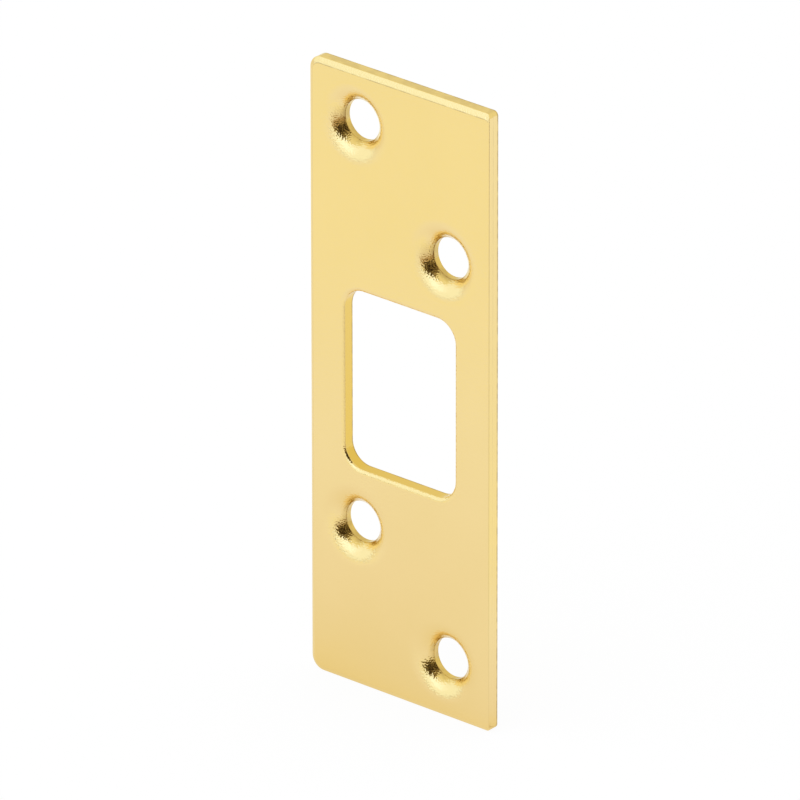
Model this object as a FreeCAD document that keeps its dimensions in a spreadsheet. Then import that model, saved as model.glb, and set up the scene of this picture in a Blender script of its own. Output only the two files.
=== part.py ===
import FreeCAD, Part
import os
import Sketcher

# Door strike plate: one stamped and plated steel sheet that is let into a door jamb.
#
# Frame, in millimetres: the plate stands upright as it is fixed on the jamb.
# X runs across the plate, Z runs along it, and the face that shows looks towards -Y.
# The origin is the centre of the bolt opening in the plane of the back face, which lies
# on the jamb, so the metal reaches from Y = -plate_thickness to Y = 0. Only the backs
# of the four pressed screw seats stand out past Y = 0.

# Driving dimensions, in millimetres and degrees
DIMENSIONS = (
    ("plate_width", 31.75),
    ("plate_height", 92.1),
    ("plate_thickness", 1.9),
    ("plate_corner_radius", 2.0),
    ("opening_width", 19.5),
    ("opening_height", 26.7),
    ("opening_corner_radius", 3.2),
    ("outline_edge_reach", 1.0),
    ("outline_edge_depth", 0.53),
    ("opening_edge_reach", 0.68),
    ("opening_edge_depth", 0.38),
    ("sheared_edge_radius", 0.3),
    ("screw_edge_distance", 8.1),
    ("screw_opening_distance", 8.7),
    ("screw_hole_diameter", 6.0),
    ("countersink_diameter", 9.1),
    ("countersink_angle", 82.0),
    ("countersink_lip_radius", 3.6),
    ("seat_height", 0.75),
    ("seat_base_diameter", 9.8),
    ("seat_edge_radius", 0.2),
)

# Places worked out from the driving dimensions, as formulas of the same spreadsheet: the
# outer screws sit equally far from two edges, the inner ones a set way off the opening
DERIVED = (
    ("screw_column", "=plate_width / 2 - screw_edge_distance"),
    ("outer_screw_row", "=plate_height / 2 - screw_edge_distance"),
    ("inner_screw_row", "=opening_height / 2 + screw_opening_distance"),
)

SHEET = "Dimensions"
NODE = "strike_plate"

# A rolled edge is wider than deep. It is made of a bevel and two roundings, one towards
# the face and one towards the wall, and these are the bevel's shares of the whole roll.
BEVEL_REACH_SHARE = 0.6
BEVEL_DEPTH_SHARE = 0.55

# Sketch vocabulary: ends of an edge, the centre of a circle, and the sketch's own origin
START = 1
END = 2
CENTRE = 3
ORIGIN = (-1, 1)

# Distances below this count as the same place
TOLERANCE = 1e-4


def make_sheet(doc):
    """The dimensions as a spreadsheet, one named cell each."""
    sheet = doc.addObject("Spreadsheet::Sheet", SHEET)
    for row, (name, value) in enumerate(DIMENSIONS + DERIVED, start=1):
        sheet.set("A%d" % row, name)
        sheet.set("B%d" % row, str(value))
        sheet.setAlias("B%d" % row, name)
    doc.recompute()
    return sheet


def cell(name):
    """The name of a driving dimension inside an expression."""
    return "%s.%s" % (SHEET, name)


def sketch_on_back(body, name):
    """A sketch in the plane of the back face: its x is X, its y is Z, its normal is -Y."""
    sketch = body.newObject("Sketcher::SketchObject", name)
    planes = [item for item in body.Origin.OriginFeatures if item.Role == "XZ_Plane"]
    sketch.AttachmentSupport = (planes[0], [""])
    sketch.MapMode = "FlatFace"
    return sketch


def bind(sketch, kind, where, value, expression):
    """A measured constraint whose value comes from the spreadsheet."""
    index = sketch.addConstraint(Sketcher.Constraint(kind, *where, value))
    sketch.setExpression("Constraints[%d]" % index, expression)


def add_outline(sketch, sheet, width, height, radius, rounded):
    """A rectangle centred on the origin, with the named corners rounded."""
    corners = ("left bottom", "right bottom", "right top", "left top")
    ways = ((1, 0), (0, 1), (-1, 0), (0, -1))
    half_width = sheet.get(width) / 2
    half_height = sheet.get(height) / 2
    turn = sheet.get(radius)

    def point(index, along_in, along_out):
        """A point near a corner, back along the side before it and on along the next."""
        side_x = half_width if "right" in corners[index] else -half_width
        side_z = half_height if "top" in corners[index] else -half_height
        before, after = ways[index - 1], ways[index]
        x = side_x - along_in * before[0] + along_out * after[0]
        z = side_z - along_in * before[1] + along_out * after[1]
        return FreeCAD.Vector(x, z, 0)

    cut = [turn if name in rounded else 0.0 for name in corners]
    sides = []
    for index in range(len(corners)):
        following = (index + 1) % len(corners)
        first = point(index, 0, cut[index])
        last = point(following, cut[following], 0)
        sides.append(sketch.addGeometry(Part.LineSegment(first, last)))
    for index, side in enumerate(sides):
        direction = "Horizontal" if ways[index][0] else "Vertical"
        sketch.addConstraint(Sketcher.Constraint(direction, side))

    arcs = []
    sagitta = turn * (1 - 0.5 ** 0.5)
    for index, name in enumerate(corners):
        before, after = sides[index - 1], sides[index]
        if name not in rounded:
            sketch.addConstraint(Sketcher.Constraint("Coincident", before, END, after, START))
            continue
        bend = Part.Arc(point(index, turn, 0), point(index, sagitta, sagitta), point(index, 0, turn))
        arc = sketch.addGeometry(bend)
        sketch.addConstraint(Sketcher.Constraint("Tangent", before, END, arc, START))
        sketch.addConstraint(Sketcher.Constraint("Tangent", arc, END, after, START))
        arcs.append(arc)
    bind(sketch, "Radius", (arcs[0],), turn, cell(radius))
    for arc in arcs[1:]:
        sketch.addConstraint(Sketcher.Constraint("Equal", arcs[0], arc))

    bottom, right, top, left = sides
    bind(sketch, "DistanceX", (left, START, *ORIGIN), half_width, cell(width) + " / 2")
    bind(sketch, "DistanceX", (*ORIGIN, right, START), half_width, cell(width) + " / 2")
    bind(sketch, "DistanceY", (bottom, START, *ORIGIN), half_height, cell(height) + " / 2")
    bind(sketch, "DistanceY", (*ORIGIN, top, START), half_height, cell(height) + " / 2")


def add_screw_circles(sketch, sheet, diameter):
    """Four staggered circles: the lower pair is the upper pair turned half round."""
    column = sheet.get("screw_column")
    outer = sheet.get("outer_screw_row")
    inner = sheet.get("inner_screw_row")
    radius = sheet.get(diameter) / 2
    places = ((-column, outer), (column, inner), (column, -outer), (-column, -inner))
    circles = []
    for x, z in places:
        circle = Part.Circle(FreeCAD.Vector(x, z, 0), FreeCAD.Vector(0, 0, 1), radius)
        circles.append(sketch.addGeometry(circle))
    upper_left, upper_right, lower_right, lower_left = circles
    bind(sketch, "Diameter", (upper_left,), 2 * radius, cell(diameter))
    for circle in circles[1:]:
        sketch.addConstraint(Sketcher.Constraint("Equal", upper_left, circle))
    for one, other in ((upper_left, lower_right), (upper_right, lower_left)):
        sketch.addConstraint(Sketcher.Constraint("Symmetric", one, CENTRE, other, CENTRE, *ORIGIN))
    bind(sketch, "DistanceX", (upper_left, CENTRE, *ORIGIN), column, cell("screw_column"))
    bind(sketch, "DistanceX", (*ORIGIN, upper_right, CENTRE), column, cell("screw_column"))
    bind(sketch, "DistanceY", (*ORIGIN, upper_left, CENTRE), outer, cell("outer_screw_row"))
    bind(sketch, "DistanceY", (*ORIGIN, upper_right, CENTRE), inner, cell("inner_screw_row"))


def depth_span(edge):
    """The least and greatest Y of an edge."""
    box = edge.BoundBox
    return box.YMin, box.YMax


def edges_at_depth(shape, depth):
    """The numbers of the edges that lie in one plane parallel to the plate's face."""
    found = []
    for number, edge in enumerate(shape.Edges, start=1):
        low, high = depth_span(edge)
        if abs(low - depth) < TOLERANCE and abs(high - depth) < TOLERANCE:
            found.append(number)
    return found


def circles_only(shape, numbers, radius_limit):
    """Of these edges, the full circles about a screw hole's axis, up to a radius."""
    kept = []
    for number in numbers:
        edge = shape.Edges[number - 1]
        if not edge.isClosed() or not isinstance(edge.Curve, Part.Circle):
            continue
        if edge.Curve.Radius < radius_limit:
            kept.append(number)
    return kept


def add_fillet(body, name, base, numbers, radius):
    """Round the numbered edges of a feature."""
    fillet = body.newObject("PartDesign::Fillet", name)
    fillet.Base = (base, ["Edge%d" % number for number in numbers])
    fillet.setExpression("Radius", radius)
    body.Document.recompute()
    return fillet


def add_blank(body, sheet):
    """The sheet blank: rounded on the left, cut square where it was sheared on the right."""
    sketch = sketch_on_back(body, "BlankOutline")
    rounded = ("left bottom", "left top")
    add_outline(sketch, sheet, "plate_width", "plate_height", "plate_corner_radius", rounded)
    blank = body.newObject("PartDesign::Pad", "Blank")
    blank.Profile = sketch
    blank.setExpression("Length", cell("plate_thickness"))
    body.Document.recompute()
    return blank


def add_opening(body, sheet):
    """The window that the door's bolt enters."""
    sketch = sketch_on_back(body, "OpeningOutline")
    rounded = ("left bottom", "right bottom", "right top", "left top")
    add_outline(sketch, sheet, "opening_width", "opening_height", "opening_corner_radius", rounded)
    opening = body.newObject("PartDesign::Pocket", "BoltOpening")
    opening.Profile = sketch
    opening.Type = "ThroughAll"
    opening.Reversed = True
    body.Document.recompute()
    return opening


def add_bevel(body, name, base, numbers, reach, depth):
    """Cut the numbered edges of the front to a slant, wider along the face than deep."""
    bevel = body.newObject("PartDesign::Chamfer", name)
    bevel.Base = (base, ["Edge%d" % number for number in numbers])
    bevel.ChamferType = "Two distances"
    bevel.setExpression("Size", "%s * %g" % (reach, BEVEL_REACH_SHARE))
    bevel.setExpression("Size2", "%s * %g" % (depth, BEVEL_DEPTH_SHARE))
    body.Document.recompute()
    return bevel


def edges_around(sheet, shape, depth, opening):
    """The edges in one plane that run round the opening, or round the rest of the outline."""
    sheared_side = sheet.get("plate_width") / 2
    limit = (sheet.get("opening_width") / 2 + sheared_side) / 2
    found = []
    for number in edges_at_depth(shape, depth):
        box = shape.Edges[number - 1].BoundBox
        if box.XMin > sheared_side - TOLERANCE:
            continue
        inside = max(abs(box.XMin), abs(box.XMax)) < limit
        if inside == opening:
            found.append(number)
    return found


def roll_edges(body, sheet, base, what):
    """The soft edge that stamping leaves: it bends slowly off the face, then tightly."""
    opening = what == "opening"
    front = -sheet.get("plate_thickness")
    wall_line = front + BEVEL_DEPTH_SHARE * sheet.get(what + "_edge_depth")
    reach = cell(what + "_edge_reach")
    depth = cell(what + "_edge_depth")
    title = what.capitalize()
    slope = "atan(%s * %g / (%s * %g))" % (depth, BEVEL_DEPTH_SHARE, reach, BEVEL_REACH_SHARE)
    wall_radius = "%s * %g / tan((90deg - %s) / 2)" % (depth, 1 - BEVEL_DEPTH_SHARE, slope)
    face_radius = "%s * %g / tan(%s / 2)" % (reach, 1 - BEVEL_REACH_SHARE, slope)

    sharp = edges_around(sheet, base.Shape, front, opening)
    bevel = add_bevel(body, title + "Bevel", base, sharp, reach, depth)
    below = edges_around(sheet, bevel.Shape, wall_line, opening)
    if not below:
        bevel.FlipDirection = True
        body.Document.recompute()
        below = edges_around(sheet, bevel.Shape, wall_line, opening)
    rim = add_fillet(body, title + "Rim", bevel, below, wall_radius)
    above = edges_around(sheet, rim.Shape, front, opening)
    return add_fillet(body, title + "Shoulder", rim, above, face_radius)


def break_sheared_edges(body, sheet, base):
    """The sheared side's sharper edge: its front, and where it meets the top and bottom."""
    sheared_side = sheet.get("plate_width") / 2
    around = []
    for number, edge in enumerate(base.Shape.Edges, start=1):
        on_side = edge.BoundBox.XMin > sheared_side - TOLERANCE
        on_back = depth_span(edge)[0] > -TOLERANCE
        if on_side and not on_back:
            around.append(number)
    return add_fillet(body, "ShearedEdges", base, around, cell("sheared_edge_radius"))


def add_screw_seats(body, sheet):
    """The backs of the pressed screw seats: low cones that run along with the countersinks."""
    sketch = sketch_on_back(body, "SeatCircles")
    add_screw_circles(sketch, sheet, "seat_base_diameter")
    seats = body.newObject("PartDesign::Pad", "ScrewSeats")
    seats.Profile = sketch
    seats.Reversed = True
    seats.setExpression("Length", cell("seat_height"))
    seats.setExpression("TaperAngle", "-%s / 2" % cell("countersink_angle"))
    body.Document.recompute()
    return seats


def add_screw_holes(body, sheet):
    """The countersunk screw holes, cut from the front face through plate and seats."""
    sketch = sketch_on_back(body, "ScrewHoleCentres")
    sketch.setExpression("AttachmentOffset.Base.z", cell("plate_thickness"))
    add_screw_circles(sketch, sheet, "screw_hole_diameter")
    body.Document.recompute()
    holes = body.newObject("PartDesign::Hole", "ScrewHoles")
    holes.Profile = sketch
    holes.DepthType = "ThroughAll"
    holes.HoleCutType = "Countersink"
    holes.HoleCutCustomValues = True
    holes.setExpression("Diameter", cell("screw_hole_diameter"))
    holes.setExpression("HoleCutDiameter", cell("countersink_diameter"))
    holes.setExpression("HoleCutCountersinkAngle", cell("countersink_angle"))
    body.Document.recompute()
    return holes


def soften_countersinks(body, sheet, base):
    """The drawn-in lip, where the face curves down into each countersink."""
    front = -sheet.get("plate_thickness")
    in_face = edges_at_depth(base.Shape, front)
    rims = circles_only(base.Shape, in_face, sheet.get("countersink_diameter"))
    return add_fillet(body, "CountersinkLips", base, rims, cell("countersink_lip_radius"))


def soften_seats(body, sheet, base):
    """The worn outer edge on the end of each pressed seat."""
    end = edges_at_depth(base.Shape, sheet.get("seat_height"))
    rings = circles_only(base.Shape, end, sheet.get("seat_base_diameter") / 2)
    bores = circles_only(base.Shape, end, sheet.get("screw_hole_diameter") / 2 + TOLERANCE)
    outer = [number for number in rings if number not in bores]
    return add_fillet(body, "SeatEdges", base, outer, cell("seat_edge_radius"))


def check_removed(before, after, what):
    """A cut that points away from the metal removes nothing and raises no error."""
    removed = before.Shape.Volume - after.Shape.Volume
    print("%s removes %.1f cubic mm" % (what, removed))
    if removed <= 0:
        raise RuntimeError(what + " cuts nothing")


def make_strike_plate(doc, sheet):
    """The whole plate, feature by feature in the order in which it is pressed."""
    body = doc.addObject("PartDesign::Body", "StrikePlate")
    body.Label = NODE
    blank = add_blank(body, sheet)
    opening = add_opening(body, sheet)
    check_removed(blank, opening, "bolt opening")
    rolled = roll_edges(body, sheet, opening, "outline")
    rolled = roll_edges(body, sheet, rolled, "opening")
    break_sheared_edges(body, sheet, rolled)
    seats = add_screw_seats(body, sheet)
    holes = add_screw_holes(body, sheet)
    check_removed(seats, holes, "screw holes")
    lips = soften_countersinks(body, sheet, holes)
    body.Tip = soften_seats(body, sheet, lips)
    return body


def check_document(doc, parts):
    """Every object is computed without error and every sub-part is one valid solid."""
    for item in doc.Objects:
        if "Invalid" in item.State or "Error" in item.State:
            raise RuntimeError("%s failed: %s" % (item.Label, item.State))
    for part in parts:
        shape = part.Shape
        if shape.isNull() or not shape.isValid() or len(shape.Solids) != 1:
            raise RuntimeError("%s is not one valid solid" % part.Label)


def export(parts):
    """Each sub-part as a STEP file under its own name."""
    os.makedirs("parts", exist_ok=True)
    for part in parts:
        part.Shape.exportStep("parts/%s.step" % part.Label)
        box = part.Shape.BoundBox
        size = (box.XLength, box.YLength, box.ZLength)
        print("%s: %.2f x %.2f x %.2f mm, %.1f cubic mm" % (part.Label, *size, part.Shape.Volume))


def main():
    doc = FreeCAD.newDocument("DoorStrikePlate")
    sheet = make_sheet(doc)
    parts = [make_strike_plate(doc, sheet)]
    doc.recompute()
    check_document(doc, parts)
    export(parts)


main()
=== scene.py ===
# %% [markdown]
# # A brass-plated door strike plate
#
# A strike plate is a small flat plate that is let into a door jamb. The bolt of the lock
# goes through the window in its middle, and four countersunk screws hold it. This one is
# stamped from sheet steel and plated, so it has the marks of a press: edges that are rolled
# soft on the front, screw seats that are pushed in and stand out behind, and one side that
# was only sheared off and stayed sharp.
#
# The lesson builds it in this order: camera, plate, plating, floor and light.

# %% Load the fixed frame
import math

import bpy
import bmesh
from mathutils import Matrix, Vector


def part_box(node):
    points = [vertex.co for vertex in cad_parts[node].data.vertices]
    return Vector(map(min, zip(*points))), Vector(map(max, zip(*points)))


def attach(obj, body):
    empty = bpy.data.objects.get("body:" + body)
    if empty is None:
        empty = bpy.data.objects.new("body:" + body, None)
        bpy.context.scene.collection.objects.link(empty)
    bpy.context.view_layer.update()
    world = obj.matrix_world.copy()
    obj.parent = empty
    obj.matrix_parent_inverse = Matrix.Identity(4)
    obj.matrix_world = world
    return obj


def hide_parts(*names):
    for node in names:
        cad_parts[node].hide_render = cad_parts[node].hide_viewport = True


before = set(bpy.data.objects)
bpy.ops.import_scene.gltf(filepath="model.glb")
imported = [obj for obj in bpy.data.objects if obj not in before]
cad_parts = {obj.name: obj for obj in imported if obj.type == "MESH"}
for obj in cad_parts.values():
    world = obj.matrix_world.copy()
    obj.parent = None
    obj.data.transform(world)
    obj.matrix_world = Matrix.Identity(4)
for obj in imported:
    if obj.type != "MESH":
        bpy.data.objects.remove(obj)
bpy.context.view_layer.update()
PLATE_NODE = "strike_plate"
MM = 0.001

plate_low, plate_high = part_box(PLATE_NODE)
print("plate box in mm:", [round(v / MM, 3) for v in (*plate_low, *plate_high)])

# %% [markdown]
# ## Sizes
#
# Everything is in metres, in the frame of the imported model: X runs across the plate, Z
# along it, and the face that shows looks towards -Y. The back of the sheet is at Y = 0. The
# sizes are those of the real plate, so the piece lies exactly where the solid one is.

# %% Sizes of the plate
PLATE_WIDTH = 31.75 * MM
PLATE_HEIGHT = 92.1 * MM
SHEET_THICKNESS = 1.9 * MM
PLATE_CORNER = 2.0 * MM
SHEARED_CORNER = 0.75 * MM
OUTLINE_EDGE_DEPTH = 0.53 * MM
WINDOW_EDGE_DEPTH = 0.4 * MM
RIM_ROUNDING = 0.14 * MM
BEVEL_START = math.radians(23)
BEVEL_END = math.radians(36)
WINDOW_BEVEL_START = math.radians(5)
WINDOW_BEVEL_END = math.radians(50)
SHEARED_EDGE = 0.08 * MM

WINDOW_WIDTH = 19.5 * MM
WINDOW_HEIGHT = 26.7 * MM
WINDOW_CORNER = 3.2 * MM

SCREW_COLUMN = 7.775 * MM
OUTER_ROW = 37.95 * MM
INNER_ROW = 22.05 * MM
HOLE_RADIUS = 3.0 * MM
COUNTERSINK_RADIUS = 4.55 * MM
COUNTERSINK_SLOPE = math.radians(41)
LIP_ROUNDING = 3.6 * MM
SEAT_HEIGHT = 0.75 * MM
SEAT_RADIUS = 4.9 * MM
SEAT_EDGE = 0.2 * MM
print("plate", round(PLATE_WIDTH / MM, 2), "x", round(PLATE_HEIGHT / MM, 2), "mm")

# %% [markdown]
# ## The camera
#
# The picture is taken from far away with a long lens: the plate's upright edges stay
# parallel and its near side is hardly larger than its far side. A short lens close by
# would make the near side swell. The camera looks at the plate from 40 degrees to its
# right and from 25 degrees above, and is placed by the direction it looks from.

# %% Camera
CAMERA_SIDE = math.radians(40.0)
CAMERA_RISE = math.radians(25.28)
CAMERA_ROLL = math.radians(-0.07)
FOCAL_PIXELS = 16000.0
PIXELS_PER_METRE = 7386.7
FRAME_PIXELS = 800.0
LEFT_SHIFT = -1.332
UP_SHIFT = 4.902

look_back = Vector((
    math.sin(CAMERA_SIDE) * math.cos(CAMERA_RISE),
    -math.cos(CAMERA_SIDE) * math.cos(CAMERA_RISE),
    math.sin(CAMERA_RISE),
))
right_level = Vector((math.cos(CAMERA_SIDE), math.sin(CAMERA_SIDE), 0.0))
up_level = look_back.cross(right_level)
right = right_level * math.cos(CAMERA_ROLL) + up_level * math.sin(CAMERA_ROLL)
up = up_level * math.cos(CAMERA_ROLL) - right_level * math.sin(CAMERA_ROLL)

face_centre = Vector((0.0, -SHEET_THICKNESS, 0.0))
camera_place = face_centre + look_back * (FOCAL_PIXELS / PIXELS_PER_METRE)
camera_place -= right * (LEFT_SHIFT / PIXELS_PER_METRE)
camera_place -= up * (UP_SHIFT / PIXELS_PER_METRE)

camera_data = bpy.data.cameras.new("camera")
camera_data.sensor_width = 36.0
camera_data.lens = FOCAL_PIXELS * camera_data.sensor_width / FRAME_PIXELS
camera_data.clip_start = 0.05
camera_data.clip_end = 20.0
camera = bpy.data.objects.new("camera", camera_data)
bpy.context.scene.collection.objects.link(camera)
axes = Matrix((right, up, look_back)).transposed()
camera.matrix_world = Matrix.Translation(camera_place) @ axes.to_4x4()
bpy.context.scene.camera = camera
print("lens", round(camera_data.lens), "mm, distance", round(camera_place.length, 2), "m")

# %% [markdown]
# ## Small helpers for node trees
#
# Geometry and material trees are both lists of nodes with wires between them. These
# helpers add one node, and feed a socket either from another node or with a plain value.
# With them a formula reads almost as it would on paper.

# %% Node helpers
def add_node(tree, kind, **settings):
    """A new node with its settings."""
    made = tree.nodes.new(kind)
    for name, value in settings.items():
        setattr(made, name, value)
    return made


def feed(tree, socket, value):
    """Give a socket the output of another node, or a plain value."""
    if isinstance(value, bpy.types.NodeSocket):
        tree.links.new(value, socket)
    else:
        socket.default_value = value


def calc(tree, operation, *values):
    """One step of arithmetic on numbers."""
    step = add_node(tree, "ShaderNodeMath", operation=operation)
    for socket, value in zip(step.inputs, values):
        feed(tree, socket, value)
    return step.outputs[0]


def combine(tree, x=0.0, y=0.0, z=0.0):
    """Three numbers as a vector."""
    step = add_node(tree, "ShaderNodeCombineXYZ")
    for socket, value in zip(step.inputs, (x, y, z)):
        feed(tree, socket, value)
    return step.outputs[0]


def clamp_unit(tree, value):
    """A number held between 0 and 1."""
    step = add_node(tree, "ShaderNodeClamp")
    feed(tree, step.inputs["Value"], value)
    return step.outputs[0]


def compare(tree, operation, a, b, data_type="FLOAT"):
    """True where a and b compare as asked."""
    step = add_node(tree, "FunctionNodeCompare", operation=operation, data_type=data_type)
    live = [s for s in step.inputs if s.enabled]
    feed(tree, live[0], a)
    feed(tree, live[1], b)
    return step.outputs[0]


def new_geometry_tree(name, inputs):
    """An empty geometry tree with named inputs. Returns it, its inputs and its output node."""
    tree = bpy.data.node_groups.new(name, "GeometryNodeTree")
    for label, (kind, value) in inputs.items():
        socket = tree.interface.new_socket(label, in_out="INPUT", socket_type=kind)
        if value is not None:
            socket.default_value = value
    tree.interface.new_socket("Geometry", in_out="OUTPUT", socket_type="NodeSocketGeometry")
    start = add_node(tree, "NodeGroupInput")
    end = add_node(tree, "NodeGroupOutput")
    return tree, start.outputs, end


print("helpers ready")

# %% [markdown]
# ## A grid that is bent into shape
#
# A press forms the same cross section all along an edge. So each formed edge here is a flat
# grid of points that is wrapped round the plate: one direction of the grid runs along the
# edge, the other runs over the section, from the face, over the roll and down the wall. A
# formula moves every point to its place. It gives clean rows of faces that a rendered
# highlight can run along, where cutting and bevelling a block leaves uneven ones.

# %% A grid with its row and column numbers
def numbered_grid(tree, columns, rows):
    """A grid of points, and the column and row number of each point."""
    wide = calc(tree, "SUBTRACT", columns, 1.0)
    deep = calc(tree, "SUBTRACT", rows, 1.0)
    grid = add_node(tree, "GeometryNodeMeshGrid")
    feed(tree, grid.inputs["Size X"], wide)
    feed(tree, grid.inputs["Size Y"], deep)
    feed(tree, grid.inputs["Vertices X"], columns)
    feed(tree, grid.inputs["Vertices Y"], rows)
    place = add_node(tree, "GeometryNodeInputPosition")
    parts = add_node(tree, "ShaderNodeSeparateXYZ")
    feed(tree, parts.inputs[0], place.outputs[0])
    column = calc(tree, "ROUND", calc(tree, "MULTIPLY_ADD", wide, 0.5, parts.outputs["X"]))
    row = calc(tree, "ROUND", calc(tree, "MULTIPLY_ADD", deep, 0.5, parts.outputs["Y"]))
    return grid.outputs["Mesh"], column, row


def store(tree, geometry, name, value):
    """Keep a number on every point under a name that the material can read."""
    step = add_node(tree, "GeometryNodeStoreNamedAttribute", data_type="FLOAT", domain="POINT")
    feed(tree, step.inputs["Geometry"], geometry)
    feed(tree, step.inputs["Name"], name)
    feed(tree, step.inputs["Value"], value)
    return step.outputs[0]


def move_to(tree, geometry, place):
    """Put every point at the place that the formula gives."""
    step = add_node(tree, "GeometryNodeSetPosition")
    feed(tree, step.inputs["Geometry"], geometry)
    feed(tree, step.inputs["Position"], place)
    return step.outputs[0]


print("grid ready")

# %% [markdown]
# ## The formed edges of the sheet
#
# Both the outline and the window are rectangles with rounded corners, so a point on either
# is a corner number and an angle within that corner. The section starts on the flat face,
# turns down with a light kink, runs out as a long shallow curve and bends at its rim into
# the wall. The press made it by squeezing the edge, so it is wider than deep. It catches
# the lamp as one even bright band, where a plain quarter circle would show a thin glint. On
# the right side of the outline there is only a small break, because that side was sheared
# after forming. There the lower part of the wall also lies back by a few hundredths of a
# millimetre, where the steel tore instead of being cut. Two numbers are kept on the points
# for the material. inner_wall is painted shade and painted second reflection on the walls
# of the window, stronger at its lower left. crease is painted shade at the start of the
# roll along the top and the upper right, on the top wall and along the back edges; on the
# line of the tear it is the real tear mark as well as painted shade.

# %% The tree for one formed edge
FACE_MARGIN = 0.12 * MM
TEAR_DEPTH = 0.8 * MM
TEAR_STEP = 0.02 * MM
TEAR_RAMP = 0.15 * MM
TEAR_LINE = 0.08 * MM
# Strengths of painted shade: lower left window walls, right side, back edge, top wall, and the tear
# line, which is also a real mark.
LOW_LEFT_SHADE = 0.25
RIGHT_SIDE_SHADE = 0.2
BACK_EDGE_SHADE = 0.8
TOP_WALL_SHADE = 0.4
TEAR_LINE_MARK_AND_SHADE = 0.3

EDGE_INPUTS = {
    "Half Width": ("NodeSocketFloat", PLATE_WIDTH / 2),
    "Half Height": ("NodeSocketFloat", PLATE_HEIGHT / 2),
    "Left Corner": ("NodeSocketFloat", PLATE_CORNER),
    "Right Corner": ("NodeSocketFloat", SHEARED_CORNER),
    "Edge Depth": ("NodeSocketFloat", OUTLINE_EDGE_DEPTH),
    "Rim Rounding": ("NodeSocketFloat", RIM_ROUNDING),
    "Bevel Start": ("NodeSocketFloat", BEVEL_START),
    "Bevel End": ("NodeSocketFloat", BEVEL_END),
    "Right Roll": ("NodeSocketFloat", SHEARED_EDGE),
    "Thickness": ("NodeSocketFloat", SHEET_THICKNESS),
    "Inwards": ("NodeSocketFloat", 1.0),
    "Wall Shade": ("NodeSocketFloat", 0.0),
    "Crease Shade": ("NodeSocketFloat", 0.8),
    "Right Tear": ("NodeSocketFloat", TEAR_STEP),
    "Corner Steps": ("NodeSocketInt", 14),
    "Roll Steps": ("NodeSocketInt", 16),
    "Wall Steps": ("NodeSocketInt", 12),
}


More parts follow.
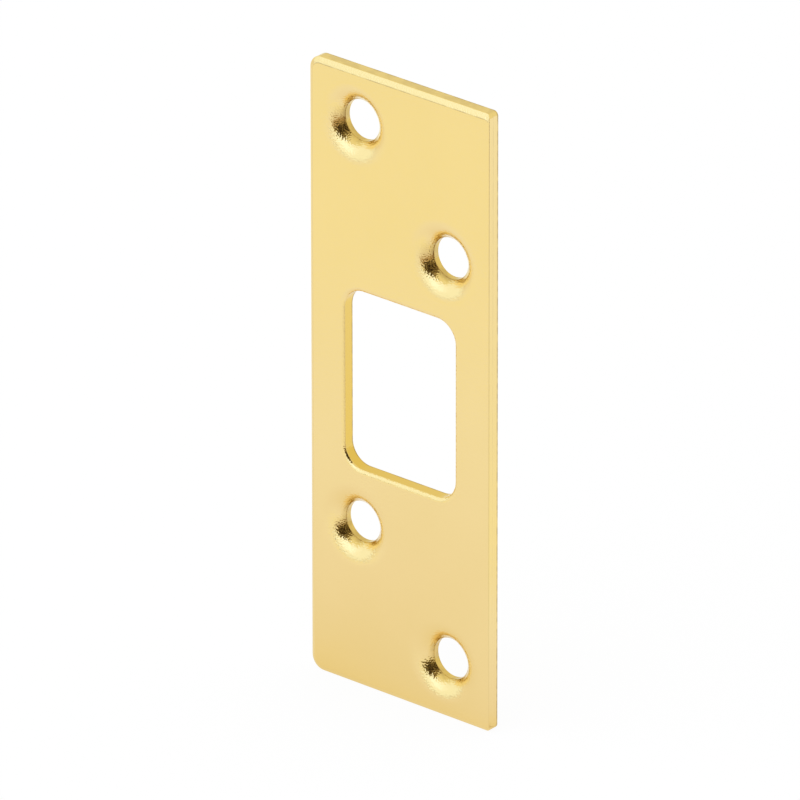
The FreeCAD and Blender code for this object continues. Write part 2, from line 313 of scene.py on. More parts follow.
def build_edge_tree():
    """A rolled edge round a rectangle with rounded corners, face margin to back margin."""
    tree, given, end = new_geometry_tree("formed_edge", EDGE_INPUTS)

    def c(operation, *values):
        return calc(tree, operation, *values)

    per_corner = c("ADD", given["Corner Steps"], 1.0)
    columns = c("MULTIPLY_ADD", per_corner, 4.0, 1.0)
    wall_start = c("ADD", given["Roll Steps"], 1.0)
    rows = c("ADD", c("ADD", wall_start, given["Wall Steps"]), 2.0)
    grid, column, row = numbered_grid(tree, columns, rows)

    whole = c("FLOOR", c("DIVIDE", c("ADD", column, 0.01), per_corner))
    corner = c("MODULO", whole, 4.0)
    step = c("SUBTRACT", column, c("MULTIPLY", whole, per_corner))
    turn = c("MULTIPLY", c("ADD", corner, c("DIVIDE", step, given["Corner Steps"])), math.pi / 2)
    middle = c("MULTIPLY", c("ADD", corner, 0.5), math.pi / 2)
    side_x = c("SIGN", c("COSINE", middle))
    side_y = c("SIGN", c("SINE", middle))
    on_right = c("GREATER_THAN", side_x, 0.0)

    roll_part = clamp_unit(tree, c("DIVIDE", c("SUBTRACT", row, 1.0), given["Roll Steps"]))
    wall_part = clamp_unit(tree, c("DIVIDE", c("SUBTRACT", row, wall_start), given["Wall Steps"]))
    first_row = c("LESS_THAN", row, 0.5)
    last_row = c("GREATER_THAN", row, c("SUBTRACT", rows, 1.5))
    margin = c("MULTIPLY", c("ADD", first_row, last_row), FACE_MARGIN)

    def arc(start, stop, share, radius):
        """Run and drop along an arc whose slope goes from start to stop."""
        slope = c("MULTIPLY_ADD", c("SUBTRACT", stop, start), share, start)
        run = c("MULTIPLY", radius, c("SUBTRACT", c("SINE", slope), c("SINE", start)))
        drop = c("MULTIPLY", radius, c("SUBTRACT", c("COSINE", start), c("COSINE", slope)))
        return run, drop

    twice = c("MULTIPLY", roll_part, 2.0)
    start, stop = given["Bevel Start"], given["Bevel End"]
    rim_drop = c("MULTIPLY", given["Rim Rounding"], c("COSINE", stop))
    spread_cosines = c("SUBTRACT", c("COSINE", start), c("COSINE", stop))
    bend = c("DIVIDE", c("SUBTRACT", given["Edge Depth"], rim_drop), spread_cosines)
    on_bevel = arc(start, stop, clamp_unit(tree, twice), bend)
    past_bevel = clamp_unit(tree, c("SUBTRACT", twice, 1.0))
    on_rim = arc(stop, math.pi / 2, past_bevel, given["Rim Rounding"])
    whole_bevel = arc(start, stop, 1.0, bend)
    whole_rim = arc(stop, math.pi / 2, 1.0, given["Rim Rounding"])
    reach = c("ADD", whole_bevel[0], whole_rim[0])
    inset = c("ADD", c("SUBTRACT", c("SUBTRACT", reach, on_bevel[0]), on_rim[0]), margin)
    wall_drop = c("MULTIPLY", c("SUBTRACT", given["Thickness"], given["Edge Depth"]), wall_part)
    depth = c("ADD", c("ADD", on_bevel[1], on_rim[1]), wall_drop)

    on_break = arc(0.0, math.pi / 2, roll_part, given["Right Roll"])
    right_wall = c("MULTIPLY", c("SUBTRACT", given["Thickness"], given["Right Roll"]), wall_part)
    right_depth = c("ADD", on_break[1], right_wall)
    torn = clamp_unit(tree, c("DIVIDE", c("SUBTRACT", right_depth, TEAR_DEPTH), TEAR_RAMP))
    right_inset = c("ADD", c("SUBTRACT", given["Right Roll"], on_break[0]), margin)
    right_inset = c("ADD", right_inset, c("MULTIPLY", torn, given["Right Tear"]))

    sheared = c("MULTIPLY", on_right, c("GREATER_THAN", given["Inwards"], 0.0))
    facing_right = c("MULTIPLY", sheared, c("POWER", c("ABSOLUTE", c("COSINE", turn)), 2.0))
    depth = c("MULTIPLY_ADD", c("SUBTRACT", right_depth, depth), facing_right, depth)

    def choose(if_right, if_left):
        gap = c("SUBTRACT", if_right, if_left)
        return c("MULTIPLY_ADD", gap, sheared, if_left)

    inset_x = c("MULTIPLY", choose(right_inset, inset), given["Inwards"])
    inset_y = c("MULTIPLY", inset, given["Inwards"])
    radius = choose(given["Right Corner"], given["Left Corner"])
    radius = c("MAXIMUM", c("SUBTRACT", radius, inset_x), 0.0)
    reach_x = c("SUBTRACT", c("SUBTRACT", given["Half Width"], inset_x), radius)
    reach_y = c("SUBTRACT", c("SUBTRACT", given["Half Height"], inset_y), radius)
    x = c("MULTIPLY_ADD", c("COSINE", turn), radius, c("MULTIPLY", side_x, reach_x))
    y = c("MULTIPLY_ADD", c("SINE", turn), radius, c("MULTIPLY", side_y, reach_y))
    z = c("SUBTRACT", given["Thickness"], depth)

    on_wall = clamp_unit(tree, c("SUBTRACT", row, c("SUBTRACT", wall_start, 2.0)))
    above_back = c("SUBTRACT", 1.0, last_row)
    # inner_wall: painted shade and painted second reflection on the window walls, stronger at the
    # lower left.
    inner_wall = c("MULTIPLY", c("MULTIPLY", on_wall, above_back), given["Wall Shade"])
    low_left = c("MULTIPLY", c("LESS_THAN", side_x, 0.0), c("LESS_THAN", side_y, 0.0))
    inner_wall = c("MULTIPLY", inner_wall, c("MULTIPLY_ADD", low_left, LOW_LEFT_SHADE, 1.0))
    numbered = store(tree, grid, "inner_wall", inner_wall)
    # crease: painted shade at the roll's start on top, on the top wall and at the back edges; at the
    # tear also a real mark.
    at_start = c("LESS_THAN", c("ABSOLUTE", c("SUBTRACT", row, 1.0)), 0.5)
    facing_up = c("POWER", c("ABSOLUTE", c("SINE", turn)), 2.0)
    upper_shade = c("MAXIMUM", facing_up, c("MULTIPLY", facing_right, RIGHT_SIDE_SHADE))
    upper_shade = c("MULTIPLY", upper_shade, given["Crease Shade"])
    upper_shade = c("MULTIPLY", upper_shade, c("GREATER_THAN", side_y, 0.0))
    back_edge = c("GREATER_THAN", row, c("SUBTRACT", rows, 3.5))
    back_edge = c("MULTIPLY", back_edge, above_back)
    crease_shade = c("MAXIMUM", c("MULTIPLY", at_start, upper_shade), c("MULTIPLY", back_edge, BACK_EDGE_SHADE))
    shaded_top_wall = c("MULTIPLY", c("MULTIPLY", on_wall, c("POWER", facing_up, 4.0)), upper_shade)
    crease_shade = c("MAXIMUM", crease_shade, c("MULTIPLY", shaded_top_wall, TOP_WALL_SHADE))
    from_tear = c("ABSOLUTE", c("SUBTRACT", right_depth, TEAR_DEPTH + TEAR_LINE))
    tear_line = c("MULTIPLY", c("LESS_THAN", from_tear, TEAR_LINE), facing_right)
    tear_line = c("MULTIPLY", tear_line, c("GREATER_THAN", side_y, 0.0))
    crease_shade = c("MAXIMUM", crease_shade, c("MULTIPLY", tear_line, TEAR_LINE_MARK_AND_SHADE))
    numbered = store(tree, numbered, "crease_shade", crease_shade)
    tree.links.new(move_to(tree, numbered, combine(tree, x, y, z)), end.inputs[0])
    return tree


edge_tree = build_edge_tree()
print("formed edge:", len(edge_tree.nodes), "nodes")

# %% [markdown]
# ## The pressed screw seat
#
# A countersink is usually cut with a drill. In sheet this thin a press pushes it in
# instead: the face curves down into the cone with a wide soft lip, and the metal that is
# moved stands out behind as a low cone of its own. The seat is a solid of revolution, so
# one line, from the face down to the hole and back up behind, is turned round the axis.
# The line has a few corners, and Fillet Curve rounds each by its own radius. The points
# near the hole get the same two numbers as the edges: inner_wall, painted shade and painted
# second reflection, grows over the last part of the cone, and crease paints shade on the
# wall of the hole and its rim.

# %% The tree for one screw seat
SEAT_TOP_RADIUS = SEAT_RADIUS - SEAT_HEIGHT * math.tan(COUNTERSINK_SLOPE)
CONE_DEPTH = (COUNTERSINK_RADIUS - HOLE_RADIUS) / math.tan(COUNTERSINK_SLOPE)
LIP_REACH = LIP_ROUNDING * math.tan((math.pi / 2 - COUNTERSINK_SLOPE) / 2)
LIP_START = COUNTERSINK_RADIUS + LIP_REACH + FACE_MARGIN
SEAT_START = SEAT_RADIUS + FACE_MARGIN
LAND_EDGE = 0.25 * MM
# Reach and strength of painted shade near the hole, on its wall and on its rim.
TINT_REACH = 0.6 * MM
NEAR_HOLE_SHADE = 0.6
HOLE_SLACK = 0.01 * MM
RIM_REACH = 0.1 * MM
HOLE_WALL_SHADE = 0.5
HOLE_RIM_SHADE = 0.7

SECTION_CORNERS = (
    (LIP_START, SHEET_THICKNESS, 0.0),
    (COUNTERSINK_RADIUS, SHEET_THICKNESS, LIP_ROUNDING),
    (HOLE_RADIUS, SHEET_THICKNESS - CONE_DEPTH, LAND_EDGE),
    (HOLE_RADIUS, -SEAT_HEIGHT, 0.0),
    (SEAT_TOP_RADIUS, -SEAT_HEIGHT, SEAT_EDGE),
    (SEAT_RADIUS, 0.0, 0.0),
    (SEAT_START, 0.0, 0.0),
)

SEAT_INPUTS = {
    "Around": ("NodeSocketInt", 96),
    "Rounding Steps": ("NodeSocketInt", 14),
}


def pick(tree, kind, values):
    """The value that belongs to a point's number."""
    step = add_node(tree, "GeometryNodeIndexSwitch", data_type=kind)
    while len(step.index_switch_items) < len(values):
        step.index_switch_items.new()
    number = add_node(tree, "GeometryNodeInputIndex")
    feed(tree, step.inputs["Index"], number.outputs[0])
    for socket, value in zip(step.inputs[1:], values):
        socket.default_value = value
    return step.outputs[0]


def sample(tree, curve, kind, value, number):
    """The value that a curve's point of that number has."""
    step = add_node(tree, "GeometryNodeSampleIndex", data_type=kind, domain="POINT", clamp=True)
    feed(tree, step.inputs["Geometry"], curve)
    feed(tree, step.inputs["Value"], value)
    feed(tree, step.inputs["Index"], number)
    return step.outputs[0]


def build_seat_tree():
    """One pressed and countersunk screw seat about the tree's own Z axis."""
    tree, given, end = new_geometry_tree("screw_seat", SEAT_INPUTS)

    def c(operation, *values):
        return calc(tree, operation, *values)

    line = add_node(tree, "GeometryNodeMeshLine")
    feed(tree, line.inputs["Count"], len(SECTION_CORNERS))
    places = [(radius, 0.0, height) for radius, height, rounding in SECTION_CORNERS]
    roundings = [rounding for radius, height, rounding in SECTION_CORNERS]
    bent = move_to(tree, line.outputs[0], pick(tree, "VECTOR", places))
    section = add_node(tree, "GeometryNodeMeshToCurve")
    feed(tree, section.inputs["Mesh"], bent)
    fillet = add_node(tree, "GeometryNodeFilletCurve", mode="POLY")
    feed(tree, fillet.inputs["Curve"], section.outputs[0])
    feed(tree, fillet.inputs["Count"], given["Rounding Steps"])
    feed(tree, fillet.inputs["Radius"], pick(tree, "FLOAT", roundings))

    size = add_node(tree, "GeometryNodeAttributeDomainSize", component="CURVE")
    feed(tree, size.inputs[0], fillet.outputs[0])
    columns = c("ADD", given["Around"], 1.0)
    grid, column, row = numbered_grid(tree, columns, size.outputs["Point Count"])
    place = add_node(tree, "GeometryNodeInputPosition")
    on_section = sample(tree, fillet.outputs[0], "FLOAT_VECTOR", place.outputs[0], row)
    parts = add_node(tree, "ShaderNodeSeparateXYZ")
    feed(tree, parts.inputs[0], on_section)
    radius = parts.outputs["X"]
    angle = c("MULTIPLY", c("DIVIDE", column, given["Around"]), 2 * math.pi)
    x = c("MULTIPLY", radius, c("COSINE", angle))
    y = c("MULTIPLY", radius, c("SINE", angle))

    # inner_wall: painted shade and painted second reflection over the last part of the cone.
    outwards = c("DIVIDE", c("SUBTRACT", radius, HOLE_RADIUS), TINT_REACH)
    near_hole = c("SUBTRACT", 1.0, clamp_unit(tree, outwards))
    numbered = store(tree, grid, "inner_wall", c("MULTIPLY", near_hole, NEAR_HOLE_SHADE))
    in_hole = c("LESS_THAN", radius, HOLE_RADIUS + HOLE_SLACK)
    rim = c("SUBTRACT", c("LESS_THAN", radius, HOLE_RADIUS + RIM_REACH), in_hole)
    rim = c("MULTIPLY", rim, HOLE_RIM_SHADE)
    # crease here: painted shade on the wall of the hole and on its rim.
    numbered = store(tree, numbered, "crease_shade", c("MULTIPLY_ADD", in_hole, HOLE_WALL_SHADE, rim))
    moved = move_to(tree, numbered, combine(tree, x, y, parts.outputs["Z"]))
    tree.links.new(moved, end.inputs[0])
    return tree


seat_tree = build_seat_tree()
print("screw seat:", len(seat_tree.nodes), "nodes, lip starts at", round(LIP_START / MM, 3), "mm")

# %% [markdown]
# ## The whole plate
#
# The plate joins two formed edges and four screw seats, which stand on four staggered
# points. What is missing is the flat metal between them. The open borders of the formed
# pieces on the front are turned into curves, and Fill Curve spans one flat face between
# all of them, with holes where a border lies inside another. The same is done for the back.
# Because each border has a narrow flat margin, the flat faces stay truly flat in the
# shading, and a reflection in them does not bend near the edges.

# %% The tree for the plate
PLATE_INPUTS = {
    "Screw Column": ("NodeSocketFloat", SCREW_COLUMN),
    "Outer Row": ("NodeSocketFloat", OUTER_ROW),
    "Inner Row": ("NodeSocketFloat", INNER_ROW),
    "Thickness": ("NodeSocketFloat", SHEET_THICKNESS),
    "Sharp Angle": ("NodeSocketFloat", math.radians(9)),
    "Plating": ("NodeSocketMaterial", None),
}
WELD = 0.002 * MM
WINDOW_EDGE = {
    "Half Width": WINDOW_WIDTH / 2,
    "Half Height": WINDOW_HEIGHT / 2,
    "Left Corner": WINDOW_CORNER,
    "Edge Depth": WINDOW_EDGE_DEPTH,
    "Bevel Start": WINDOW_BEVEL_START,
    "Bevel End": WINDOW_BEVEL_END,
    "Inwards": -1.0,
    "Wall Shade": 0.8,
    "Crease Shade": 0.0,
}


def use_group(tree, group):
    """A node that runs another tree."""
    step = add_node(tree, "GeometryNodeGroup", node_tree=group)
    return step


def weld(tree, geometry):
    """Join points that lie in the same place."""
    step = add_node(tree, "GeometryNodeMergeByDistance")
    feed(tree, step.inputs["Geometry"], geometry)
    feed(tree, step.inputs["Distance"], WELD)
    return step.outputs[0]


def join(tree, *pieces):
    """Several geometries as one."""
    step = add_node(tree, "GeometryNodeJoinGeometry")
    for piece in pieces:
        tree.links.new(piece, step.inputs[0])
    return step.outputs[0]


def fill_borders(tree, geometry, level, half_thickness, front):
    """One flat face between the open borders on the front or the back."""
    neighbours = add_node(tree, "GeometryNodeInputMeshEdgeNeighbors")
    is_open = compare(tree, "EQUAL", neighbours.outputs[0], 1, "INT")
    place = add_node(tree, "GeometryNodeInputPosition")
    parts = add_node(tree, "ShaderNodeSeparateXYZ")
    feed(tree, parts.inputs[0], place.outputs[0])
    which = "GREATER_THAN" if front else "LESS_THAN"
    on_side = compare(tree, which, parts.outputs["Z"], half_thickness)
    both = add_node(tree, "FunctionNodeBooleanMath", operation="AND")
    feed(tree, both.inputs[0], is_open)
    feed(tree, both.inputs[1], on_side)
    border = add_node(tree, "GeometryNodeMeshToCurve")
    feed(tree, border.inputs["Mesh"], geometry)
    feed(tree, border.inputs["Selection"], both.outputs[0])
    fill = add_node(tree, "GeometryNodeFillCurve", mode="TRIANGLES")
    feed(tree, fill.inputs[0], border.outputs[0])
    lift = add_node(tree, "GeometryNodeTransform")
    feed(tree, lift.inputs["Geometry"], fill.outputs[0])
    feed(tree, lift.inputs["Translation"], combine(tree, 0.0, 0.0, level))
    return lift.outputs[0]


def build_plate_tree():
    """The finished plate, upright, with its face towards -Y."""
    tree, given, end = new_geometry_tree("strike_plate_tree", PLATE_INPUTS)
    outline = use_group(tree, edge_tree)
    feed(tree, outline.inputs["Thickness"], given["Thickness"])
    window = use_group(tree, edge_tree)
    feed(tree, window.inputs["Thickness"], given["Thickness"])
    for name, value in WINDOW_EDGE.items():
        window.inputs[name].default_value = value

    left = calc(tree, "MULTIPLY", given["Screw Column"], -1.0)
    low_outer = calc(tree, "MULTIPLY", given["Outer Row"], -1.0)
    low_inner = calc(tree, "MULTIPLY", given["Inner Row"], -1.0)
    centres = (
        (left, given["Outer Row"]),
        (given["Screw Column"], given["Inner Row"]),
        (left, low_inner),
        (given["Screw Column"], low_outer),
    )
    places = []
    for x, z in centres:
        point = add_node(tree, "GeometryNodePoints")
        feed(tree, point.inputs["Count"], 1)
        feed(tree, point.inputs["Position"], combine(tree, x, z, 0.0))
        places.append(point.outputs[0])
    seat = use_group(tree, seat_tree)
    stand = add_node(tree, "GeometryNodeInstanceOnPoints")
    feed(tree, stand.inputs["Points"], join(tree, *places))
    feed(tree, stand.inputs["Instance"], weld(tree, seat.outputs[0]))
    real = add_node(tree, "GeometryNodeRealizeInstances")
    feed(tree, real.inputs[0], stand.outputs[0])

    formed = weld(tree, join(tree, outline.outputs[0], window.outputs[0], real.outputs[0]))
    half = calc(tree, "MULTIPLY", given["Thickness"], 0.5)
    face = fill_borders(tree, formed, given["Thickness"], half, True)
    back = fill_borders(tree, formed, 0.0, half, False)
    whole = weld(tree, join(tree, formed, face, back))

    angle = add_node(tree, "GeometryNodeInputMeshEdgeAngle")
    sharp = compare(tree, "GREATER_THAN", angle.outputs["Unsigned Angle"], given["Sharp Angle"])
    soft = add_node(tree, "GeometryNodeSetShadeSmooth", domain="FACE")
    feed(tree, soft.inputs["Geometry"], whole)
    crisp = add_node(tree, "GeometryNodeSetShadeSmooth", domain="EDGE")
    feed(tree, crisp.inputs["Geometry"], soft.outputs[0])
    feed(tree, crisp.inputs["Selection"], sharp)
    feed(tree, crisp.inputs["Shade Smooth"], False)

    upright = add_node(tree, "GeometryNodeTransform")
    feed(tree, upright.inputs["Geometry"], crisp.outputs[0])
    upright.inputs["Rotation"].default_value = (math.pi / 2, 0.0, 0.0)
    flat = add_node(tree, "GeometryNodeRealizeInstances")
    feed(tree, flat.inputs[0], upright.outputs[0])
    coat = add_node(tree, "GeometryNodeSetMaterial")
    feed(tree, coat.inputs["Geometry"], flat.outputs[0])
    feed(tree, coat.inputs["Material"], given["Plating"])
    tree.links.new(coat.outputs[0], end.inputs[0])
    return tree


plate_tree = build_plate_tree()
print("plate:", len(plate_tree.nodes), "nodes")

# %% [markdown]
# ## The plating
#
# The plate is steel with a thin bright yellow plating. Plating follows every grain of the
# steel under it, so the finish is neither a mirror nor evenly dull: up close it is a mirror
# with a very fine grain, and from further off the grain blurs what it reflects. That is
# why the metal here has a low roughness and gets its satin from a fine bump, which breaks
# the rim of a dark reflection into speckles as on the real plate. A slower bump adds the
# slight waviness of rolled sheet, and the colour drifts a little where the plating is
# thicker. Inside the openings the colour is painted darker and more orange, as painted
# shade and painted second reflection. Along the start of the roll, the top wall, the back
# edges and the holes it is painted browner as painted shade, broken up by a speckle; on
# the tear line this also stands for the real tear mark.

# %% Plating material
GRAIN_PER_METRE = 4500.0
WAVE_PER_METRE = 420.0
DRIFT_PER_METRE = 60.0
# Scale of the speckle that breaks up the painted shade along bends and edges.
SHADE_SPECKLE_PER_METRE = 700.0
DULL_PER_METRE = 900.0
GRAIN_HEIGHT = 0.047 * MM
WAVE_HEIGHT = 0.02 * MM
SMOOTHEST = 0.05
ROUGHEST = 0.11
PLATING_LOW = (0.915, 0.715, 0.328)
PLATING_HIGH = (0.935, 0.732, 0.348)
# Painted shade colours: inside the openings (with painted second reflection), then along bends,
# edges and holes.
INNER_WALL_SHADE = (0.840, 0.590, 0.150)
CREASE_SHADE_COLOUR = (0.420, 0.300, 0.150)


def noise(tree, place, scale, detail=2.0, roughness=0.5):
    """A cloudy pattern between 0 and 1."""
    step = add_node(tree, "ShaderNodeTexNoise", noise_dimensions="3D")
    feed(tree, step.inputs["Vector"], place)
    step.inputs["Scale"].default_value = scale
    step.inputs["Detail"].default_value = detail
    step.inputs["Roughness"].default_value = roughness
    return step.outputs["Fac"]


def bump(tree, height, distance, strength, before=None):
    """Small hills that only the shading sees."""
    step = add_node(tree, "ShaderNodeBump")
    feed(tree, step.inputs["Height"], height)
    step.inputs["Distance"].default_value = distance
    step.inputs["Strength"].default_value = strength
    if before is not None:
        feed(tree, step.inputs["Normal"], before)
    return step.outputs[0]


def ramp(tree, value, stops):
    """A colour for each value."""
    step = add_node(tree, "ShaderNodeValToRGB")
    feed(tree, step.inputs[0], value)
    band = step.color_ramp
    while len(band.elements) < len(stops):
        band.elements.new(0.5)
    for element, (place, colour) in zip(band.elements, stops):
        element.position = place
        element.color = (*colour, 1.0)
    return step.outputs[0]


def blend(tree, share, first, second):
    """One colour passing into another."""
    step = add_node(tree, "ShaderNodeMix", data_type="RGBA")
    feed(tree, step.inputs["Factor"], share)
    sockets = [socket for socket in step.inputs if socket.type == "RGBA"]
    for socket, colour in zip(sockets, (first, second)):
        feed(tree, socket, (*colour, 1.0) if isinstance(colour, tuple) else colour)
    return [socket for socket in step.outputs if socket.type == "RGBA"][0]


def between(tree, value, start, stop):
    """A share that passes softly from 0 to 1 between two values."""
    step = add_node(tree, "ShaderNodeMapRange", interpolation_type="SMOOTHSTEP")
    feed(tree, step.inputs["Value"], value)
    step.inputs["From Min"].default_value = start
    step.inputs["From Max"].default_value = stop
    return step.outputs[0]


def spread(tree, value, low, high):
    """A value between 0 and 1 moved to a new range."""
    return calc(tree, "MULTIPLY_ADD", value, high - low, low)


def build_plating():
    """Yellow plating over finely grained steel."""
    material = bpy.data.materials.new("yellow_plating")
    material.use_nodes = True
    tree = material.node_tree
    tree.nodes.clear()
    where = add_node(tree, "ShaderNodeTexCoord").outputs["Object"]
    drift = noise(tree, where, DRIFT_PER_METRE, 3.0, 0.6)
    colour = ramp(tree, drift, ((0.25, PLATING_LOW), (0.75, PLATING_HIGH)))
    # Painted shade and painted second reflection inside the openings: a darker, more orange colour.
    inner = add_node(tree, "ShaderNodeAttribute", attribute_name="inner_wall")
    colour = blend(tree, inner.outputs["Fac"], colour, INNER_WALL_SHADE)
    # Painted shade along the roll's start, top wall, back edges, tear line and holes, broken up by a
    # speckle.
    crease_shade = add_node(tree, "ShaderNodeAttribute", attribute_name="crease_shade")
    broken = between(tree, noise(tree, where, SHADE_SPECKLE_PER_METRE, 3.0, 0.6), 0.35, 0.6)
    crease_shade_share = calc(tree, "MULTIPLY", crease_shade.outputs["Fac"], spread(tree, broken, 0.3, 0.9))
    colour = blend(tree, crease_shade_share, colour, CREASE_SHADE_COLOUR)
    grain = noise(tree, where, GRAIN_PER_METRE, 0.0)
    wave = noise(tree, where, WAVE_PER_METRE, 2.0, 0.5)
    rough = spread(tree, noise(tree, where, DULL_PER_METRE, 3.0, 0.6), SMOOTHEST, ROUGHEST)

    shader = add_node(tree, "ShaderNodeBsdfPrincipled")
    feed(tree, shader.inputs["Base Color"], colour)
    shader.inputs["Metallic"].default_value = 1.0
    feed(tree, shader.inputs["Roughness"], rough)
    slow = bump(tree, wave, WAVE_HEIGHT, 0.35)
    fine = bump(tree, grain, GRAIN_HEIGHT, 0.7, slow)
    feed(tree, shader.inputs["Normal"], fine)
    out = add_node(tree, "ShaderNodeOutputMaterial")
    tree.links.new(shader.outputs[0], out.inputs["Surface"])
    return material


plating = build_plating()
print("plating:", len(plating.node_tree.nodes), "nodes")

# %% [markdown]
# ## Making the plate from its tree
#
# A modifier runs the tree. Its result is then kept as a plain mesh and the modifier goes
# away, so that the mesh is exactly what is seen. The mesh is closed, so its faces
# can all be turned outwards at the end.

# %% Make the plate
def run_tree(name, tree, values):
    """The result of a geometry tree as a plain mesh object at the origin."""
    holder = bpy.data.objects.new(name + "_holder", bpy.data.meshes.new(name + "_holder"))
    bpy.context.scene.collection.objects.link(holder)
    modifier = holder.modifiers.new(name, "NODES")
    modifier.node_group = tree
    for item in tree.interface.items_tree:
        if item.item_type == "SOCKET" and item.in_out == "INPUT" and item.name in values:
            modifier[item.identifier] = values[item.name]
    holder.update_tag()
    graph = bpy.context.evaluated_depsgraph_get()
    mesh = bpy.data.meshes.new_from_object(holder.evaluated_get(graph), depsgraph=graph)
    bpy.data.objects.remove(holder)
    mesh.name = name
    piece = bpy.data.objects.new(name, mesh)
    bpy.context.scene.collection.objects.link(piece)
    return piece


def turn_outwards(mesh):
    """Faces that look outwards. Returns the number of open edges, and the volume."""
    work = bmesh.new()
    work.from_mesh(mesh)
    bmesh.ops.recalc_face_normals(work, faces=work.faces[:])
    open_edges = sum(1 for edge in work.edges if len(edge.link_faces) != 2)
    volume = work.calc_volume()
    work.to_mesh(mesh)
    work.free()
    return open_edges, volume


plate = run_tree("plated_plate", plate_tree, {"Plating": plating})
open_edges, volume = turn_outwards(plate.data)
faces = len(plate.data.polygons)
print("plate mesh:", faces, "faces,", open_edges, "open edges")
print("volume:", round(volume / MM ** 3, 1), "cubic mm")

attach(plate, "root")
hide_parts(PLATE_NODE)

# %% [markdown]
# ## The floor
#
# The plate stands on a plain white floor. The floor must come out white in the picture and
# in the metal, and must still take the plate's soft shadow. So its material is a mix: a
# pale matt surface that takes shadow, and a plain white that only camera rays and rays
# from the metal see. More light would also whiten it, but would burn out the plate. What
# the metal sees is not quite white, because light and shade are painted into it: at the
# plate's foot a painted shade with the plate's own yellow light painted in, further off a
# paler colour with a yellowish band, towards the camera a painted brown shade, and to the
# left a painted warmer shade. Each shade is a sector round the plate's foot, given by the
# angles where it starts, is full, starts to end and has ended.

# %% Floor
FLOOR_HALF = 6.0
FLOOR_WHITE = 0.94
# Sectors and colours of painted shade on the floor that only the metal sees.
FAR_SIDES = [math.radians(angle) for angle in (5.0, 25.0, 100.0, 120.0)]
NEAR_SIDES = [math.radians(angle) for angle in (-5.0, 50.0, 90.0, 115.0)]
DARK_SIDES = [math.radians(angle) for angle in (58.0, 70.0, 80.0, 95.0)]
LEFT_SIDES = [math.radians(angle) for angle in (-115.0, -90.0, -80.0, -60.0)]
FAR_SHADE = ((0.3, 0.0), (0.5, 0.4), (0.9, 0.8), (1.0, 0.95))
NEAR_SHADE = ((0.0, 0.1), (0.1, 0.17), (0.2, 0.25), (0.35, 0.35))
DARK_SHADE = ((0.0, 0.2), (0.05, 0.55), (0.15, 0.9), (0.3, 1.0))
SHADED_FLOOR = (0.40, 0.25, 0.08)
LEFT_SHADE = ((0.0, 1.0), (1.0, 1.0))
DARK_FLOOR = (0.20, 0.11, 0.03)
LEFT_FLOOR = (0.90, 0.85, 0.70)
# Painted shade and painted yellow light from the plate at its foot, paler further off.
FLOOR_BY_DISTANCE = (
    (0.0, (0.84, 0.75, 0.50)),
    (0.002, (0.87, 0.80, 0.59)),
    (0.005, (0.905, 0.840, 0.660)),
    (0.013, (0.910, 0.865, 0.770)),
    (0.030, (0.935, 0.905, 0.870)),
    (0.080, (0.970, 0.970, 0.960)),
    (0.120, (0.985, 0.975, 0.880)),
    (0.150, (1.0, 0.985, 0.790)),
    (0.250, (0.98, 0.98, 0.87)),
    (0.500, (0.98, 0.99, 0.97)),
)
RIGHT_STRETCH = 2.7
MATT_LOW = (0.88, 0.88, 0.88)
MATT_HIGH = (0.9, 0.9, 0.9)
WHITE = (1.0, 1.0, 1.0)


def flat_square(name, half, level):
    """A square sheet at a height."""
    mesh = bpy.data.meshes.new(name)
    ways = ((-1, -1), (1, -1), (1, 1), (-1, 1))
    mesh.from_pydata([(x * half, y * half, level) for x, y in ways], [], [(0, 1, 2, 3)])
    made = bpy.data.objects.new(name, mesh)
    bpy.context.scene.collection.objects.link(made)
    return made


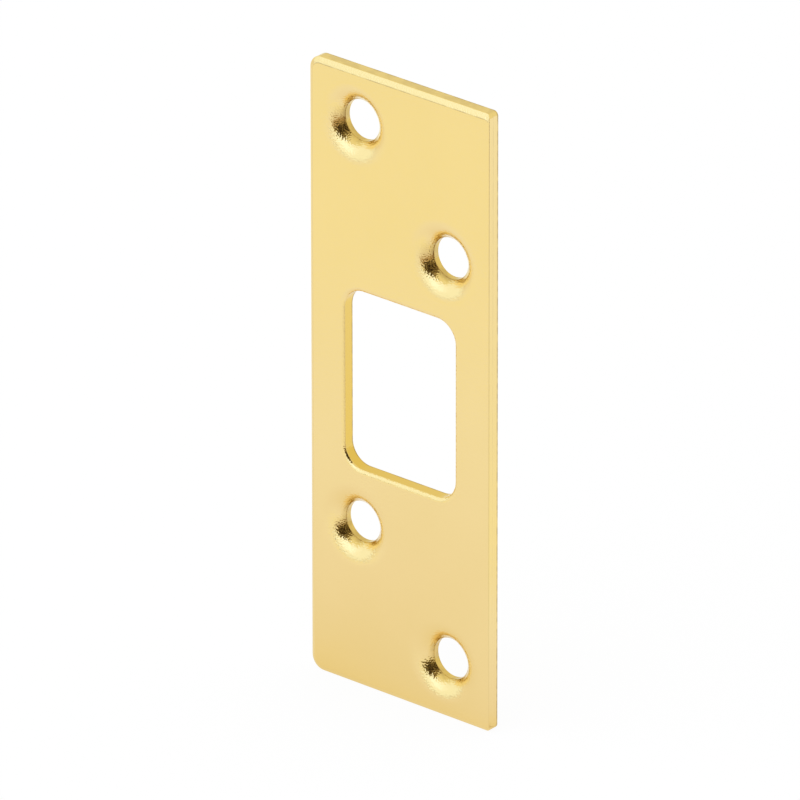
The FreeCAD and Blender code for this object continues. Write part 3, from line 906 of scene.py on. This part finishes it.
def build_floor_material():
    """Pale matt floor, white in the picture, with painted shade and painted light in the metal."""
    material = bpy.data.materials.new("white_floor")
    material.use_nodes = True
    tree = material.node_tree
    tree.nodes.clear()
    where = add_node(tree, "ShaderNodeTexCoord").outputs["Object"]
    matt = add_node(tree, "ShaderNodeBsdfDiffuse")
    tint = ramp(tree, noise(tree, where, 3.0), ((0.3, MATT_LOW), (0.7, MATT_HIGH)))
    feed(tree, matt.inputs["Color"], tint)
    glow = add_node(tree, "ShaderNodeEmission")
    ray = add_node(tree, "ShaderNodeLightPath")
    seen = calc(tree, "MAXIMUM", ray.outputs["Is Camera Ray"], ray.outputs["Is Glossy Ray"])
    seen = calc(tree, "MAXIMUM", seen, ray.outputs["Is Transmission Ray"])

    place = add_node(tree, "ShaderNodeSeparateXYZ")
    feed(tree, place.inputs[0], where)
    ahead = calc(tree, "MULTIPLY", place.outputs["Y"], -1.0)
    nearest = calc(tree, "MINIMUM", place.outputs["X"], PLATE_WIDTH / 2)
    nearest = calc(tree, "MAXIMUM", nearest, -PLATE_WIDTH / 2)
    beyond = calc(tree, "SUBTRACT", place.outputs["X"], nearest)
    side = calc(tree, "ARCTAN2", beyond, ahead)
    distance = add_node(tree, "ShaderNodeVectorMath", operation="LENGTH")
    feed(tree, distance.inputs[0], combine(tree, beyond, place.outputs["Y"]))
    along = calc(tree, "MULTIPLY_ADD", nearest, 1.0 / PLATE_WIDTH, 0.5)
    away = calc(tree, "MULTIPLY", distance.outputs["Value"], spread(tree, along, 1.0, RIGHT_STRETCH))

    def sector(sides, shades):
        """A shade that grows with the distance, on one side of the plate only."""
        edges = calc(tree, "MULTIPLY", between(tree, side, sides[0], sides[1]),
                     between(tree, side, sides[3], sides[2]))
        greys = [(place, (level, level, level)) for place, level in shades]
        return calc(tree, "MULTIPLY", edges, ramp(tree, away, greys))

    # Painted shade and painted light in the floor colour that only the metal sees.
    shade = calc(tree, "MAXIMUM", sector(FAR_SIDES, FAR_SHADE), sector(NEAR_SIDES, NEAR_SHADE))
    in_metal = blend(tree, shade, ramp(tree, away, FLOOR_BY_DISTANCE), SHADED_FLOOR)
    in_metal = blend(tree, sector(LEFT_SIDES, LEFT_SHADE), in_metal, LEFT_FLOOR)
    in_metal = blend(tree, sector(DARK_SIDES, DARK_SHADE), in_metal, DARK_FLOOR)
    shown = blend(tree, ray.outputs["Is Glossy Ray"], WHITE, in_metal)
    feed(tree, glow.inputs["Color"], shown)
    mix = add_node(tree, "ShaderNodeMixShader")
    feed(tree, mix.inputs[0], calc(tree, "MULTIPLY", seen, FLOOR_WHITE))
    tree.links.new(matt.outputs[0], mix.inputs[1])
    tree.links.new(glow.outputs[0], mix.inputs[2])
    out = add_node(tree, "ShaderNodeOutputMaterial")
    tree.links.new(mix.outputs[0], out.inputs["Surface"])
    return material


floor = flat_square("floor", FLOOR_HALF, plate_low.z)
floor.data.materials.append(build_floor_material())
print("floor at", round(plate_low.z / MM, 2), "mm")

# %% [markdown]
# ## The light
#
# Polished metal shows its surroundings, so lighting it means placing what it reflects. The
# face reflects the floor in front, which falls into shade towards the camera. The soft lips
# of the screw seats and the rolled edge on top reflect a large soft lamp that stands upright
# at the left. A diffuser is brightest in front of its bulbs, so it is built from one wide
# lamp with two smaller ones before it, and a black back keeps the room from shining through
# it. Behind the camera it is dim and brown, and this shows as a dark patch in each
# countersink. Everything else is a pale warm room. All the lamps and cards are placed by
# the direction in which they lie from the plate, in degrees to its right and degrees up.

# %% World and lamps
ROOM = (0.90, 0.86, 0.60)
LAMP_WHITE = (0.82, 0.89, 0.93)
LAMP_CORE = (0.4, 0.5, 1.0)


def build_world():
    """A white surround that the metal sees as a warm pale room."""
    world = bpy.data.worlds.new("surround")
    world.use_nodes = True
    tree = world.node_tree
    tree.nodes.clear()
    ray = add_node(tree, "ShaderNodeLightPath")
    sky = add_node(tree, "ShaderNodeBackground")
    feed(tree, sky.inputs["Color"], blend(tree, ray.outputs["Is Glossy Ray"], WHITE, ROOM))
    out = add_node(tree, "ShaderNodeOutputWorld")
    tree.links.new(sky.outputs[0], out.inputs["Surface"])
    bpy.context.scene.world = world


def direction(side, rise):
    """The way towards a place round the plate: degrees to its right, degrees up."""
    a, e = math.radians(side), math.radians(rise)
    return Vector((math.sin(a) * math.cos(e), -math.cos(a) * math.cos(e), math.sin(e)))


def soft_lamp(name, side, rise, distance, width, height, brightness, colour, lean=0.0):
    """A soft rectangular lamp of that brightness. lean tips it off facing the plate."""
    lamp = bpy.data.lights.new(name, "AREA")
    lamp.shape = "RECTANGLE"
    lamp.size = width
    lamp.size_y = height
    lamp.energy = brightness * math.pi * width * height
    lamp.color = colour
    made = bpy.data.objects.new(name, lamp)
    made.location = direction(side, rise) * distance
    made.rotation_mode = "QUATERNION"
    made.rotation_quaternion = direction(side, rise - lean).to_track_quat("Z", "Y")
    bpy.context.scene.collection.objects.link(made)


def dark_card(name, side, rise, distance, width, height, lean, darkest, stops):
    """A dim card that only the metal sees, coloured by the distance from its darkest place."""
    card = flat_square(name, 0.5, 0.0)
    facing = direction(side, rise - lean).to_track_quat("Z", "Y").to_matrix().to_4x4()
    size = Matrix.Diagonal((width, height, 1.0, 1.0))
    place = Matrix.Translation(direction(side, rise) * distance)
    card.data.transform(place @ facing @ size)
    dim = bpy.data.materials.new(name)
    dim.use_nodes = True
    tree = dim.node_tree
    tree.nodes.clear()
    away = add_node(tree, "ShaderNodeVectorMath", operation="DISTANCE")
    feed(tree, away.inputs[0], add_node(tree, "ShaderNodeTexCoord").outputs["Object"])
    feed(tree, away.inputs[1], direction(*darkest) * distance)
    share = calc(tree, "DIVIDE", away.outputs["Value"], width)
    glow = add_node(tree, "ShaderNodeEmission")
    feed(tree, glow.inputs["Color"], ramp(tree, share, stops))
    out = add_node(tree, "ShaderNodeOutputMaterial")
    tree.links.new(glow.outputs[0], out.inputs["Surface"])
    card.data.materials.append(dim)
    card.visible_camera = False
    card.visible_diffuse = False
    card.visible_shadow = False


build_world()
BLACK = ((0.0, (0.005, 0.005, 0.005)), (1.0, (0.01, 0.01, 0.01)))
BROWN = (
    (0.0, (0.02, 0.01, 0.005)),
    (0.14, (0.04, 0.025, 0.01)),
    (0.3, (0.13, 0.10, 0.045)),
    (0.6, (0.34, 0.26, 0.12)),
)
dark_card("lamp_back", -33.0, 28.5, 1.29, 2.26, 1.32, 28.5, (-33.0, 28.5), BLACK)
soft_lamp("wide_lamp", -33.0, 29.0, 1.26, 2.2, 1.28, 1.27, LAMP_WHITE, 29.0)
soft_lamp("middle_lamp", -18.0, 27.0, 1.15, 1.05, 0.7, 0.16, LAMP_CORE)
soft_lamp("inner_lamp", -11.0, 27.0, 1.1, 0.65, 0.42, 0.3, LAMP_CORE)
dark_card("camera_side", 38.2, 23.5, 2.4, 2.2, 2.4, 0.0, (36.0, 19.0), BROWN)

# %% [markdown]
# ## Picture settings
#
# The view transform stays plain, so that a colour renders as it is written.

# %% Finish
bpy.context.scene.view_settings.view_transform = "Standard"
